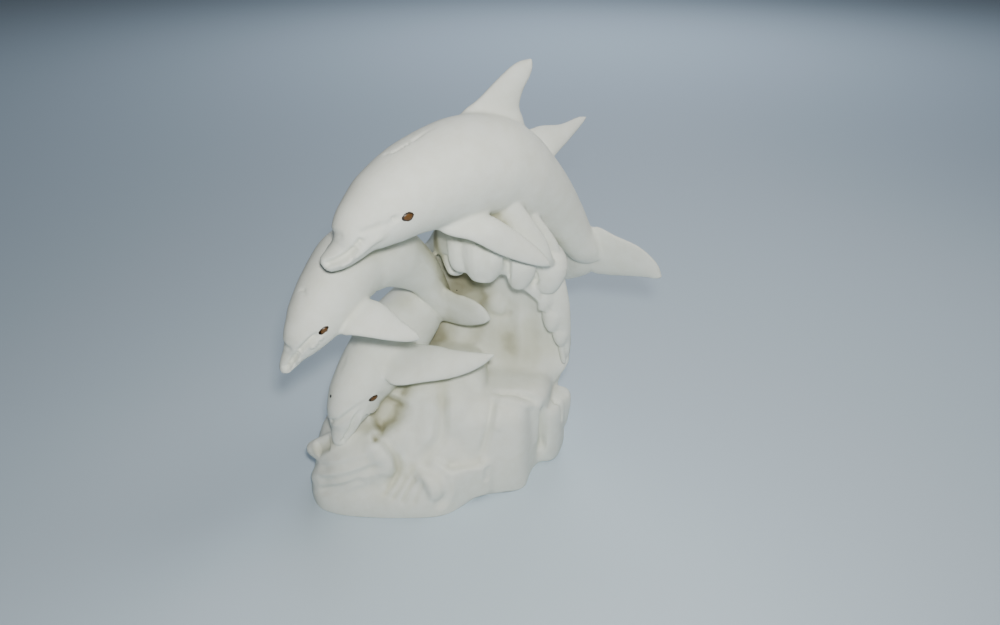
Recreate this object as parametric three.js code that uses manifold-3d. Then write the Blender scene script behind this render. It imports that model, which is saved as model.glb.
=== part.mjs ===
// Bisque porcelain sculpture: three dolphins leaping over a curling wave, cast and fired as one piece.
// Millimetres, +Z up. The origin is the middle of the bounding box, on the flat underside.
import * as THREE from 'three';
import { LoftGeometry } from 'three/addons/geometries/LoftGeometry.js';
import { mergeVertices } from 'three/addons/utils/BufferGeometryUtils.js';
import Module from 'manifold-3d';

const wasm = await Module();
wasm.setup();

// Driving dimensions.
const topLength = 209;          // beak tip to tail notch of the top dolphin
const middleLength = 158;
const lowLength = 168;
const bodySides = 20;
const bodySteps = 22;
const finSides = 8;
const finSteps = 7;
const lobeSides = 10;
const lobeSteps = 8;
const outlineSteps = 27;
const wallSteps = 12;
const headCrowding = 1.35;       // body sections are this much closer together towards the head
const finTip = 0.3;              // a fin's thickness at its tip as a share of that at its root
const hollowFloor = 60;          // height of the shelf inside the wave
const curlStart = 70;            // above this height the wave's curl sets how far the wall leans in
const footCentre = [28.65, 6.7];    // middle of the bounding box in the drawing's own coordinates

// Half sizes of a dolphin's body as fractions of its length: along, to the back, to the belly, to the side.
const bodyProfile = [
  [0.000, 0.006, 0.008, 0.008],
  [0.008, 0.016, 0.022, 0.022],
  [0.030, 0.022, 0.032, 0.031],
  [0.060, 0.029, 0.040, 0.038],
  [0.085, 0.052, 0.048, 0.051],
  [0.120, 0.072, 0.062, 0.067],
  [0.180, 0.093, 0.086, 0.090],
  [0.280, 0.114, 0.112, 0.108],
  [0.400, 0.130, 0.130, 0.122],
  [0.500, 0.132, 0.130, 0.124],
  [0.600, 0.118, 0.118, 0.112],
  [0.700, 0.094, 0.096, 0.090],
  [0.800, 0.072, 0.072, 0.068],
  [0.900, 0.055, 0.054, 0.054],
  [0.960, 0.044, 0.042, 0.050],
  [1.000, 0.022, 0.022, 0.040],
];

const vec = ([x, y, z]) => new THREE.Vector3(x, y, z);
const route = (points, closed = false) => new THREE.CatmullRomCurve3(points.map(vec), closed, 'centripetal');

// Reads a row of values from a table whose rows are evenly spaced, at t from 0 to 1.
function along(values, t) {
  const place = Math.min(values.length - 1, Math.max(0, t * (values.length - 1)));
  const low = Math.min(values.length - 2, Math.floor(place));
  return THREE.MathUtils.lerp(values[low], values[low + 1], place - low);
}

function profileAt(s) {
  let row = 1;
  while (row < bodyProfile.length - 1 && bodyProfile[row][0] < s) row += 1;
  const [before, after] = [bodyProfile[row - 1], bodyProfile[row]];
  const t = (s - before[0]) / (after[0] - before[0]);
  return [1, 2, 3].map((k) => THREE.MathUtils.lerp(before[k], after[k], t));
}

// Turns a closed geometry into a solid that can be joined and cut.
function solid(geometry) {
  const bare = new THREE.BufferGeometry().copy(geometry);
  bare.deleteAttribute('normal');
  bare.deleteAttribute('uv');
  const merged = mergeVertices(bare, 1e-3);
  return new wasm.Manifold(new wasm.Mesh({
    numProp: 3,
    vertProperties: new Float32Array(merged.attributes.position.array),
    triVerts: new Uint32Array(merged.index.array),
  }));
}

const loft = (sections) => solid(new LoftGeometry(sections, { capStart: true, capEnd: true }));

// A body is a run of ovals along its spine. sides gives the animal's left direction from head to tail.
function body({ length, spine, sides, end = 1 }) {
  const curve = route(spine);
  const sections = [];
  for (let i = 0; i <= bodySteps; i += 1) {
    const t = (i / bodySteps) ** headCrowding;
    const tangent = curve.getTangentAt(t);
    const left = new THREE.Vector3(...[0, 1, 2].map((k) => along(sides.map((side) => side[k]), t)));
    const back = left.cross(tangent).normalize();
    const side = tangent.clone().cross(back).normalize();
    const [top, belly, half] = profileAt(t * end).map((value) => value * length);
    const centre = curve.getPointAt(t);
    sections.push(Array.from({ length: bodySides }, (_, k) => {
      const angle = (k / bodySides) * Math.PI * 2;
      const rise = Math.cos(angle) * (Math.cos(angle) > 0 ? top : belly);
      return centre.clone().addScaledVector(back, rise).addScaledVector(side, Math.sin(angle) * half);
    }));
  }
  return loft(sections);
}

// A fin is a run of thin ovals from its leading edge to its trailing edge, thinner towards the tip.
function fin({ lead, trail, thick }) {
  const front = route(lead);
  const rear = route(trail);
  const sections = [];
  for (let i = 0; i <= finSteps; i += 1) {
    const t = i / finSteps;
    const a = front.getPointAt(t);
    const chord = rear.getPointAt(t).sub(a);
    const middle = a.clone().addScaledVector(chord, 0.5);
    const ahead = Math.min(1, t + 0.05);
    const behind = ahead - 0.1;
    const span = front.getPointAt(ahead).add(rear.getPointAt(ahead))
      .sub(front.getPointAt(behind < 0 ? 0 : behind)).sub(rear.getPointAt(behind < 0 ? 0 : behind));
    const across = span.cross(chord).normalize();
    const half = thick * (finTip + (1 - finTip) * (1 - t) ** 0.8);
    sections.push(Array.from({ length: finSides }, (_, k) => {
      const angle = (k / finSides) * Math.PI * 2;
      return middle.clone()
        .addScaledVector(chord, 0.5 * Math.cos(angle))
        .addScaledVector(across, half * Math.sin(angle));
    }));
  }
  return loft(sections);
}

// A lobe is a bent drop with round ends. flat squeezes it along the direction towards.
function lobe({ points, radii, flat = 1, towards = [0, -1, 0] }) {
  const curve = route(points);
  const sections = [];
  for (let i = 0; i <= lobeSteps; i += 1) {
    const turn = (0.04 + 0.92 * (i / lobeSteps)) * Math.PI;
    const t = (1 - Math.cos((i / lobeSteps) * Math.PI)) / 2;
    const tangent = curve.getTangentAt(t);
    const side = tangent.clone().cross(vec(towards)).normalize();
    const face = side.clone().cross(tangent).normalize();
    const radius = along(radii, t) * Math.sin(turn) ** 0.6;
    const centre = curve.getPointAt(t);
    sections.push(Array.from({ length: lobeSides }, (_, k) => {
      const angle = (k / lobeSides) * Math.PI * 2;
      return centre.clone()
        .addScaledVector(face, radius * flat * Math.cos(angle))
        .addScaledVector(side, radius * Math.sin(angle));
    }));
  }
  return loft(sections);
}

// A mound is a closed ground outline drawn in and shifted as it rises: each level is height, scale, x, y.
function mound({ outline, levels, steps = outlineSteps }) {
  const ring = route(outline.map(([x, y]) => [x, y, 0]), true).getSpacedPoints(steps).slice(0, steps);
  const middle = ring.reduce((sum, point) => sum.add(point), new THREE.Vector3()).divideScalar(steps);
  return loft(levels.map(([z, scale, x = 0, y = 0]) => ring.map((point) => new THREE.Vector3(
    middle.x + (point.x - middle.x) * scale + x,
    middle.y + (point.y - middle.y) * scale + y,
    z,
  ))));
}

// The wall of the wave: a hooked profile swept along its plan line, lower and straighter at its left end.
const wallLine = [[-24, 46, 0], [-4, 38, 0], [18, 31, 0], [40, 26, 0], [60, 20, 0], [74, 16, 0], [82, 14, 0]];
const wallProfile = [
  [22, 50], [9, 64], [1, 88], [3, 118], [14, 136], [28, 146], [36, 142], [43, 150],
  [36, 162], [18, 166], [-4, 160], [-15, 138], [-20, 100], [-20, 60], [-16, 20], [20, 20],
];
const wallCurl = [0.05, 0.25, 0.75, 1, 0.9, 0.5, 0.1];
const wallHeight = [0.72, 0.82, 1, 1, 0.95, 0.66, 0.24];
const wallThickness = [0.35, 0.8, 1, 1, 1, 0.8, 0.35];
const wallFoot = [0.4, 0.9, 1, 1, 1, 0.8, 0.2];
const wallSlant = [0, 0, 0, 0, 0, 0.5, 1];

function wall() {
  const curve = route(wallLine);
  const sections = [];
  for (let i = 0; i <= wallSteps; i += 1) {
    const t = i / wallSteps;
    const point = curve.getPointAt(t);
    const tangent = curve.getTangentAt(t);
    const inward = new THREE.Vector3(tangent.y, -tangent.x, 0).normalize();
    sections.push(wallProfile.map(([out, z]) => {
      const share = out < 0 ? wallThickness : z > curlStart ? wallCurl : wallFoot;
      const reach = out * along(share, t);
      const height = z > hollowFloor ? hollowFloor + (z - hollowFloor) * along(wallHeight, t) : z;
      const pull = Math.min(14, Math.max(0, 62 - z) * 1.1) * along(wallSlant, t);
      return point.clone().addScaledVector(inward, reach).addScaledVector(tangent, -pull).setZ(height);
    }).reverse());
  }
  return loft(sections);
}

const dolphins = {
  top: {
    body: {
      length: topLength,
      spine: [[-47, -59, 167], [-37, -54, 173], [-29, -47, 181.5], [-5, -27, 194.5], [30, 0, 197], [52, 16, 181.5],
        [70, 28, 162], [85, 37, 138.5], [94, 41, 124]],
      sides: [[0.45, -0.85, -0.25], [0.47, -0.83, -0.3], [0.5, -0.82, -0.25], [0.65, -0.72, 0.05], [0.75, -0.6, 0.25]],
    },
    fins: [
      { thick: 7, lead: [[24, 4, 212], [16.5, 2, 222], [27, 4, 231], [36.5, 7, 240], [45, 10, 247], [53, 13, 250]],
        trail: [[50, 15, 205], [51, 15, 216], [48, 14, 225], [50, 13, 234], [53.5, 13, 241], [55.5, 13, 248]] },
      { thick: 7, lead: [[-4, -24, 178], [10, -31, 172], [22, -34, 170], [38, -30, 159.5], [54, -24, 151], [65, -18, 146]],
        trail: [[24, -8, 186], [29, -18, 178], [38, -22, 175], [48.5, -20, 167], [59, -18, 157], [66, -18, 148.5]] },
      { thick: 6, lead: [[38, 22, 194], [48, 36, 203], [60, 44, 206.5], [73, 50, 206], [84, 57, 208.5], [89, 60, 208.5]],
        trail: [[58, 18, 184], [64, 34, 184], [70, 38, 191], [76.5, 45, 196], [84, 54, 202], [89.5, 60, 207]] },
      { thick: 6, lead: [[88, 38, 138], [94, 38, 147], [107.5, 30, 144], [121, 24, 139.5], [131, 22, 131], [136.5, 22, 122.5]],
        trail: [[95, 48, 118], [98, 47, 112], [106.5, 42, 112.5], [119, 34, 115.5], [129, 27, 118], [135.5, 22, 118.5]] },
      { thick: 6, lead: [[92, 42, 136], [85, 48, 127], [77, 58, 124], [70, 68, 116], [66, 74, 106], [64, 78, 95]],
        trail: [[99, 44, 118], [97, 48, 112], [90.5, 56, 104], [82, 66, 97], [73.5, 72, 94], [66, 78, 92]] },
    ],
  },
  middle: {
    body: {
      length: middleLength,
      spine: [[-73, -62, 109.5], [-68, -59, 117], [-60, -54, 128], [-50, -39, 142], [-40, -17, 150], [-28, -4, 148.5],
        [-18, 7, 139], [-8, 15, 126], [0, 20, 108], [3, 24, 92]],
      sides: [[0.6, -0.7, -0.3], [0.75, -0.6, -0.25], [0.85, -0.5, -0.1], [0.85, -0.5, 0.1], [0.84, -0.5, 0.25]],
    },
    fins: [
      { thick: 5, lead: [[-34, -22, 162], [-42, -26, 168], [-38, -20, 180], [-30, -14, 189], [-25, -11, 192]],
        trail: [[-28, -8, 158], [-24, -6, 167], [-26, -8, 176], [-25, -9, 184], [-23, -10, 190]] },
      { thick: 6, lead: [[-54, -42, 128], [-44, -54, 126], [-37, -58, 128], [-22, -56, 124], [-11, -52, 120], [-4, -48, 118]],
        trail: [[-40, -26, 138], [-34, -34, 137], [-23, -40, 136], [-13, -44, 128], [-6, -46, 123], [-3, -47, 120]] },
      { thick: 5, lead: [[-58, -32, 130], [-62, -22, 131], [-64, -10, 126], [-62, 0, 119], [-60, 6, 112]],
        trail: [[-46, -16, 136], [-51, -6, 133], [-55, 1, 126], [-57, 6, 118], [-59, 8, 111]] },
      { thick: 5, lead: [[-4, 20, 112], [2, 14, 119], [12, 8, 116.5], [20, 4, 116], [27.5, 2, 111.5], [33, 2, 104]],
        trail: [[0, 26, 96], [3.5, 25, 89], [8.5, 22, 89], [17, 14, 91.5], [27, 6, 97], [32.5, 2, 101.5]] },
      { thick: 5, lead: [[2, 18, 112], [-5, 24, 110], [-17, 33, 100], [-23, 37, 90], [-26, 39, 82]],
        trail: [[4, 24, 98], [3, 26, 89], [-6, 32, 83], [-14, 37, 80], [-25, 40, 79]] },
    ],
  },
  low: {
    body: {
      length: lowLength,
      end: 0.72,
      spine: [[-57, -40, 42.5], [-52.5, -37, 52], [-48, -31, 62.5], [-43, -22, 71], [-33, 0, 82], [-24, 14, 89],
        [-14, 28, 97], [-4, 40, 102]],
      sides: [[0.55, -0.7, -0.45], [0.65, -0.65, -0.4], [0.75, -0.6, -0.3]],
    },
    fins: [
      { thick: 6, lead: [[-34, -20, 82], [-23, -33, 80], [-4, -34, 82.5], [8, -32, 83], [20.5, -29, 85.5], [29.5, -27, 90], [35, -25, 94]],
        trail: [[-20, -2, 88], [-9, -8, 91], [3, -16, 95], [11, -20, 95.5], [23, -22, 95], [30, -23, 95], [36, -24, 95.5]] },
      { thick: 5, lead: [[-42, 8, 84], [-45, 18, 82], [-46, 28, 76], [-44, 37, 68]],
        trail: [[-30, 22, 88], [-33, 30, 84], [-36, 36, 76], [-40, 41, 67]] },
    ],
  },
};

// Foam: drops that hang from the crest, the band down the right edge, and two thin peaks above.
const foam = [
  { points: [[22, 12, 160], [18, -2, 152], [17, -6, 138]], radii: [11, 10, 8], flat: 0.85 },
  { points: [[34, 10, 162], [30, -6, 152], [28, -8, 133]], radii: [14, 14, 10], flat: 0.85 },
  { points: [[50, 10, 156], [50, -4, 147], [48.5, -5, 127]], radii: [12, 11.5, 7], flat: 0.8 },
  { points: [[62, 16, 144], [66, 3, 138], [65, 1, 121]], radii: [10, 11, 7.5], flat: 0.8 },
  { points: [[4, 26, 150], [8, 12, 138], [9, 4, 128]], radii: [10, 10, 7], flat: 0.8 },
  { points: [[48, 18, 146], [48, 8, 154], [46, 0, 162]], radii: [20, 18, 12], flat: 0.6 },
  { points: [[63, 14, 144], [69, 9, 122], [73.5, 8, 102], [77, 9, 84], [78.5, 10, 66]], radii: [10, 8.5, 7.5, 5, 3.5], flat: 0.8 },
];
const peaks = [
  { thick: 8, lead: [[16, -2, 150], [24, -8, 165], [30, -12, 174], [37, -13, 180], [44, -13, 185.5]],
    trail: [[70, 0, 138], [67.5, -8, 147], [63.5, -10, 158.5], [57.5, -11, 168.5], [46, -13, 184.5]] },
  { thick: 5, lead: [[48, 6, 150], [50, 3, 162], [52, 0, 169], [54, -2, 174]],
    trail: [[74, 10, 132], [73, 4, 142], [71, 1, 151], [67, 0, 158], [56, -2, 173]] },
];

const groundOutline = [
  [-78, -32], [-71, -47], [-58, -53], [-45, -55], [-21, -56], [4, -54], [13, -48], [20, -41], [26, -37], [47, -33],
  [53, -30], [58, -14], [66, -3], [75, 1], [80, 12], [81, 30], [72, 48], [50, 60], [20, 64], [-15, 60], [-45, 46],
  [-66, 24], [-76, -4],
];
const mounds = [
  { outline: groundOutline, levels: [[0, 1], [5, 1.005], [12, 0.985], [20, 0.95, 0, 2], [27, 0.86, 0, 4]] },
  { outline: [[-77, -30], [-69, -47], [-45, -54], [-20, -54], [-6, -42], [-8, 0], [-30, 26], [-60, 20], [-77, -4]],
    levels: [[2, 0.98], [14, 0.97, 0, 1], [26, 0.92, 0, 4], [36, 0.84, 1, 6], [42, 0.66, 4, 9]] },
  { outline: [[-20, -46], [6, -46], [18, -40], [30, -34], [32, -10], [24, 14], [-20, 16], [-32, 0], [-30, -26]],
    levels: [[2, 0.96], [20, 0.95, 0, 1], [32, 0.93, 0, 4], [52, 0.9, 0, 15], [66, 0.84, 2, 22], [71, 0.7, 2, 25]] },
  { outline: [[12, -36], [30, -37], [50, -33], [58, -18], [63, -2], [66, 30], [26, 38], [8, 10]],
    levels: [[2, 0.98], [20, 0.99, 0, 1], [40, 0.98, 0, 4], [50, 0.96, 0, 6], [55, 0.93, 0, 9], [60, 0.84, -2, 13]] },
  { outline: [[-30, -6], [0, -12], [30, -16], [52, -16], [63, -13], [70, 2], [69, 32], [0, 46], [-32, 38]],
    levels: [[20, 0.96], [44, 0.99], [54, 0.98], [59, 0.9, 0, 2]] },
  { outline: [[-40, 30], [0, 42], [40, 36], [64, 26], [68, 34], [64, 46], [46, 58], [10, 62], [-26, 54], [-46, 40]],
    levels: [[2, 0.98], [30, 0.98], [50, 0.94, 0, -2], [66, 0.86, 0, -4], [76, 0.7, 0, -5]] },
  { steps: 12, outline: [[63, -7], [70, -8], [76, -3], [79, 10], [70, 16], [60, 8]],
    levels: [[0, 0.9], [8, 1], [30, 1.02], [38, 0.98], [42, 0.84]] },
  { steps: 12, outline: [[70, 8], [79, 6], [84, 11], [82, 19], [70, 20]],
    levels: [[16, 0.75], [31, 0.98], [40, 1], [43, 0.86]] },
  { steps: 16, outline: [[-4, -48], [8, -50], [22, -43], [32, -38], [33, -20], [-6, -20]],
    levels: [[2, 1], [18, 1], [24, 0.99], [28, 0.93]] },
];
const rocks = [
  { points: [[-28, -22, 42], [-44, -30, 36], [-62, -32, 33], [-79, -28, 30]], radii: [14, 14, 11, 6] },
  { points: [[-16, -24, 46], [-34, -34, 34], [-54, -38, 24], [-75, -36, 12]], radii: [12, 17, 16, 9] },
  { points: [[-14, -40, 22], [0, -43, 20], [6, -45, 4]], radii: [10, 12, 10] },
  { points: [[-18, 0, 64], [-14, -12, 50], [-10, -28, 30]], radii: [12, 17, 14] },
  { points: [[8, 4, 64], [8, -8, 50], [12, -24, 30]], radii: [18, 22, 18] },
  { points: [[-46, -22, 36], [-34, -16, 48], [-22, -4, 62]], radii: [12, 13, 12] },
];

function sculpture() {
  const pieces = [wall(), ...mounds.map(mound), ...foam.map(lobe), ...peaks.map(fin), ...rocks.map(lobe)];
  for (const dolphin of Object.values(dolphins)) {
    pieces.push(body(dolphin.body), ...dolphin.fins.map(fin));
  }
  const joined = pieces.reduce((sum, piece) => sum.add(piece));
  const size = 2 * topLength;
  const below = solid(new THREE.BoxGeometry(size, size, size).translate(0, 0, -size / 2));
  return joined.subtract(below).translate([-footCentre[0], -footCentre[1], 0]);
}

function meshOf(name, shape, material) {
  const { vertProperties, triVerts } = shape.getMesh();
  const geometry = new THREE.BufferGeometry();
  geometry.setAttribute('position', new THREE.BufferAttribute(new Float32Array(vertProperties), 3));
  geometry.setIndex(new THREE.BufferAttribute(new Uint32Array(triVerts), 1));
  geometry.computeVertexNormals();
  const mesh = new THREE.Mesh(geometry, material);
  mesh.name = name;
  return mesh;
}

const bisque = new THREE.MeshStandardMaterial({ color: 0xe4e4da, roughness: 0.85, metalness: 0 });
const group = new THREE.Group();
group.add(meshOf('dolphin_sculpture', sculpture(), bisque));

export default group;
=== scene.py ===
import math

import bmesh
import bpy
import numpy as np
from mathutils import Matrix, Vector
from mathutils.bvhtree import BVHTree
from mathutils.kdtree import KDTree


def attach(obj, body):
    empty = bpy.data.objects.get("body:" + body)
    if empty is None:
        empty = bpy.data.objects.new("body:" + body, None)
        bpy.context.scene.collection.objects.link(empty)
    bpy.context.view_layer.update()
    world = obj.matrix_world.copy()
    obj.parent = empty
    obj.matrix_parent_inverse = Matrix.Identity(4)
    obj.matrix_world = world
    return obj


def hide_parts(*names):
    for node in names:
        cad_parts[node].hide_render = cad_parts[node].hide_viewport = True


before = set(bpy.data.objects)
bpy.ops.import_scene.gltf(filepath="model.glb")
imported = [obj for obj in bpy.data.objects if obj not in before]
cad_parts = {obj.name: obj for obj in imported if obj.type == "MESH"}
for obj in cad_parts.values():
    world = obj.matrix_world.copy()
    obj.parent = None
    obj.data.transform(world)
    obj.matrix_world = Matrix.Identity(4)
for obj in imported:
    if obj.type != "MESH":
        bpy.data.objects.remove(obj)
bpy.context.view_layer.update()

mm = 0.001
footCentre = np.array([28.65, 6.7, 0.0])   # middle of the footprint in the drawing's own millimetres


# Small helpers

def smoothRoute(points, count, closed=False):
    # Evenly spaced points on one smooth curve through the given ones, and the directions there.
    given = np.array(points, float)
    last = len(given)
    if closed:
        padded = np.vstack([given[-1:], given, given[:2]])
    else:
        padded = np.vstack([2 * given[0] - given[1], given, 2 * given[-1] - given[-2]])
    fine = []
    for k in range(last if closed else last - 1):
        p0, p1, p2, p3 = padded[k:k + 4]
        d0, d1, d2 = (max(np.linalg.norm(b - a), 1e-6) ** 0.5 for a, b in ((p0, p1), (p1, p2), (p2, p3)))
        m1 = (p1 - p0) / d0 - (p2 - p0) / (d0 + d1) + (p2 - p1) / d1
        m2 = (p2 - p1) / d1 - (p3 - p1) / (d1 + d2) + (p3 - p2) / d2
        u = np.linspace(0, 1, 24, endpoint=False)[:, None]
        fine.append((2 * u**3 - 3 * u**2 + 1) * p1 + (u**3 - 2 * u**2 + u) * m1 * d1
                    + (-2 * u**3 + 3 * u**2) * p2 + (u**3 - u**2) * m2 * d1)
    fine.append(given[:1] if closed else given[-1:])
    fine = np.vstack(fine)
    run = np.concatenate([[0], np.cumsum(np.linalg.norm(np.diff(fine, axis=0), axis=1))])
    where = np.linspace(0, 1, count, endpoint=not closed) * run[-1]
    spots = np.stack([np.interp(where, run, fine[:, k]) for k in range(given.shape[1])], 1)
    step = run[-1] / 200
    ahead = np.stack([np.interp(where + step, run, fine[:, k]) for k in range(given.shape[1])], 1)
    behind = np.stack([np.interp(where - step, run, fine[:, k]) for k in range(given.shape[1])], 1)
    return spots, unit(ahead - behind)


def unit(vectors):
    return vectors / np.maximum(np.linalg.norm(vectors, axis=-1, keepdims=True), 1e-9)


def along(values, t):
    # Reads evenly spaced values, single or in rows, at t from 0 to 1, smoothly.
    table = np.array(values, float)
    flat = table.reshape(len(table), -1)
    spots = np.clip(np.atleast_1d(t), 0, 1) * (len(flat) - 1)
    low = np.minimum(spots.astype(int), len(flat) - 2)
    u = (spots - low)[:, None]
    slope = np.gradient(flat, axis=0)
    out = ((2 * u**3 - 3 * u**2 + 1) * flat[low] + (u**3 - 2 * u**2 + u) * slope[low]
           + (-2 * u**3 + 3 * u**2) * flat[low + 1] + (u**3 - u**2) * slope[low + 1])
    return out.reshape((len(spots),) + table.shape[1:])


def tube(rings, name=None, values=None):
    # A grid rolled into a closed shell, one row of it for each ring. Each row can carry a named value.
    rows, sides = rings.shape[:2]
    bm = bmesh.new()
    layer = bm.verts.layers.float.new(name) if name else None
    bmesh.ops.create_grid(bm, x_segments=rows - 1, y_segments=sides, size=1.0)
    for vert in bm.verts:
        row = round((vert.co.x + 1) / 2 * (rows - 1))
        side = round((vert.co.y + 1) / 2 * sides) % sides
        vert.co = rings[row, side]
        if name:
            vert[layer] = values[row]
    bmesh.ops.remove_doubles(bm, verts=bm.verts, dist=0.001)
    bmesh.ops.holes_fill(bm, edges=[edge for edge in bm.edges if edge.is_boundary], sides=0)
    bmesh.ops.recalc_face_normals(bm, faces=bm.faces)
    return bm


# The dolphins

bodyProfile = np.array([   # along, to the back, to the belly, to the side, as fractions of the length
    [0.000, 0.006, 0.008, 0.008],
    [0.008, 0.016, 0.022, 0.022],
    [0.030, 0.022, 0.032, 0.031],
    [0.060, 0.029, 0.040, 0.038],
    [0.085, 0.052, 0.048, 0.051],
    [0.120, 0.072, 0.062, 0.067],
    [0.180, 0.093, 0.086, 0.090],
    [0.280, 0.114, 0.112, 0.108],
    [0.400, 0.130, 0.130, 0.122],
    [0.500, 0.132, 0.130, 0.124],
    [0.600, 0.118, 0.118, 0.112],
    [0.700, 0.094, 0.096, 0.090],
    [0.800, 0.072, 0.072, 0.068],
    [0.900, 0.055, 0.054, 0.054],
    [0.960, 0.044, 0.042, 0.050],
    [1.000, 0.022, 0.022, 0.040],
])

topDolphin = {
    "length": 209, "end": 1.0,
    "spine": [(-47, -59, 167), (-37, -54, 173), (-29, -47, 181.5), (-5, -27, 194.5), (30, 0, 197),
              (52, 16, 181.5), (70, 28, 162), (85, 37, 138.5), (94, 41, 124)],
    "sides": [(0.45, -0.85, -0.25), (0.47, -0.83, -0.3), (0.5, -0.82, -0.25), (0.65, -0.72, 0.05),
              (0.75, -0.6, 0.25)],
    "fins": {
        "dorsal": {"thick": 7,
                   "lead": [(24, 4, 212), (16.5, 2, 222), (27, 4, 231), (36.5, 7, 240), (45, 10, 247),
                            (53, 13, 250)],
                   "trail": [(50, 15, 205), (51, 15, 216), (48, 14, 225), (50, 13, 234),
                             (53.5, 13, 241), (55.5, 13, 248)]},
        "nearFlipper": {"thick": 7,
                        "lead": [(-4, -24, 178), (10, -31, 172), (22, -34, 170), (38, -30, 159.5),
                                 (54, -24, 151), (65, -18, 146)],
                        "trail": [(24, -8, 186), (29, -18, 178), (38, -22, 175), (48.5, -20, 167),
                                  (59, -18, 157), (66, -18, 148.5)]},
        "farFlipper": {"thick": 6,
                       "lead": [(38, 22, 194), (48, 36, 203), (60, 44, 206.5), (73, 50, 206),
                                (84, 57, 208.5), (89, 60, 208.5)],
                       "trail": [(58, 18, 184), (64, 34, 184), (70, 38, 191), (76.5, 45, 196),
                                 (84, 54, 202), (89.5, 60, 207)]},
        "nearLobe": {"thick": 6,
                     "lead": [(88, 38, 138), (94, 38, 147), (107.5, 30, 144), (121, 24, 139.5),
                              (131, 22, 131), (136.5, 22, 122.5)],
                     "trail": [(95, 48, 118), (98, 47, 112), (106.5, 42, 112.5), (119, 34, 115.5),
                               (129, 27, 118), (135.5, 22, 118.5)]},
        "farLobe": {"thick": 6,
                    "lead": [(92, 42, 136), (85, 48, 127), (77, 58, 124), (70, 68, 116), (66, 74, 106),
                             (64, 78, 95)],
                    "trail": [(99, 44, 118), (97, 48, 112), (90.5, 56, 104), (82, 66, 97),
                              (73.5, 72, 94), (66, 78, 92)]},
    },
}

middleDolphin = {
    "length": 158, "end": 1.0,
    "spine": [(-73, -62, 109.5), (-68, -59, 117), (-60, -54, 128), (-50, -39, 142), (-40, -17, 150),
              (-28, -4, 148.5), (-18, 7, 139), (-8, 15, 126), (0, 20, 108), (3, 24, 92)],
    "sides": [(0.6, -0.7, -0.3), (0.75, -0.6, -0.25), (0.85, -0.5, -0.1), (0.85, -0.5, 0.1),
              (0.84, -0.5, 0.25)],
    "fins": {
        "dorsal": {"thick": 5,
                   "lead": [(-34, -22, 162), (-42, -26, 168), (-38, -20, 180), (-30, -14, 189),
                            (-25, -11, 192)],
                   "trail": [(-28, -8, 158), (-24, -6, 167), (-26, -8, 176), (-25, -9, 184),
                             (-23, -10, 190)]},
        "nearFlipper": {"thick": 6,
                        "lead": [(-54, -42, 128), (-44, -54, 126), (-37, -58, 128), (-22, -56, 124),
                                 (-11, -52, 120), (-4, -48, 118)],
                        "trail": [(-40, -26, 138), (-34, -34, 137), (-23, -40, 136), (-13, -44, 128),
                                  (-6, -46, 123), (-3, -47, 120)]},
        "farFlipper": {"thick": 5,
                       "lead": [(-58, -32, 130), (-62, -22, 131), (-64, -10, 126), (-62, 0, 119),
                                (-60, 6, 112)],
                       "trail": [(-46, -16, 136), (-51, -6, 133), (-55, 1, 126), (-57, 6, 118),
                                 (-59, 8, 111)]},
        "nearLobe": {"thick": 5,
                     "lead": [(-4, 20, 112), (2, 14, 119), (12, 8, 116.5), (20, 4, 116),
                              (27.5, 2, 111.5), (33, 2, 104)],
                     "trail": [(0, 26, 96), (3.5, 25, 89), (8.5, 22, 89), (17, 14, 91.5), (27, 6, 97),
                               (32.5, 2, 101.5)]},
        "farLobe": {"thick": 5,
                    "lead": [(2, 18, 112), (-5, 24, 110), (-17, 33, 100), (-23, 37, 90), (-26, 39, 82)],
                    "trail": [(4, 24, 98), (3, 26, 89), (-6, 32, 83), (-14, 37, 80), (-25, 40, 79)]},
    },
}

lowDolphin = {
    "length": 168, "end": 0.72,
    "spine": [(-57.5, -40, 42.5), (-54, -37, 52), (-50, -31, 62.5), (-44.5, -22, 71), (-33, 0, 82),
              (-24, 14, 89), (-14, 28, 97), (-4, 40, 102)],
    "sides": [(0.55, -0.7, -0.45), (0.65, -0.65, -0.4), (0.75, -0.6, -0.3)],
    "fins": {
        "nearFlipper": {"thick": 6,
                        "lead": [(-34, -20, 82), (-23, -33, 80), (-4, -34, 82.5), (8, -32, 83),
                                 (20.5, -29, 85.5), (29.5, -27, 90), (35, -25, 94)],
                        "trail": [(-20, -2, 88), (-9, -8, 91), (3, -16, 95), (11, -20, 95.5),
                                  (23, -22, 95), (30, -23, 95), (36, -24, 95.5)]},
        "farFlipper": {"thick": 5,
                       "lead": [(-42, 8, 84), (-45, 18, 82), (-46, 28, 76), (-44, 37, 68)],
                       "trail": [(-30, 22, 88), (-33, 30, 84), (-36, 36, 76), (-40, 41, 67)]},
    },
}
school = [topDolphin, middleDolphin, lowDolphin]


def bodyFrame(dolphin, t):
    # Centre, back direction, side direction and the three half sizes at t from beak to tail.
    spots, ways = smoothRoute(dolphin["spine"], 240)
    pick = np.atleast_1d(t) * 239
    centre = np.stack([np.interp(pick, range(240), spots[:, k]) for k in range(3)], 1)
    tangent = unit(np.stack([np.interp(pick, range(240), ways[:, k]) for k in range(3)], 1))
    back = unit(np.cross(along(dolphin["sides"], np.atleast_1d(t)), tangent))
    side = np.cross(tangent, back)
    s = np.atleast_1d(t) * dolphin["end"]
    sizes = [np.interp(s, bodyProfile[:, 0], bodyProfile[:, k]) * dolphin["length"] for k in (1, 2, 3)]
    return centre, back, side, sizes


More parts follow.
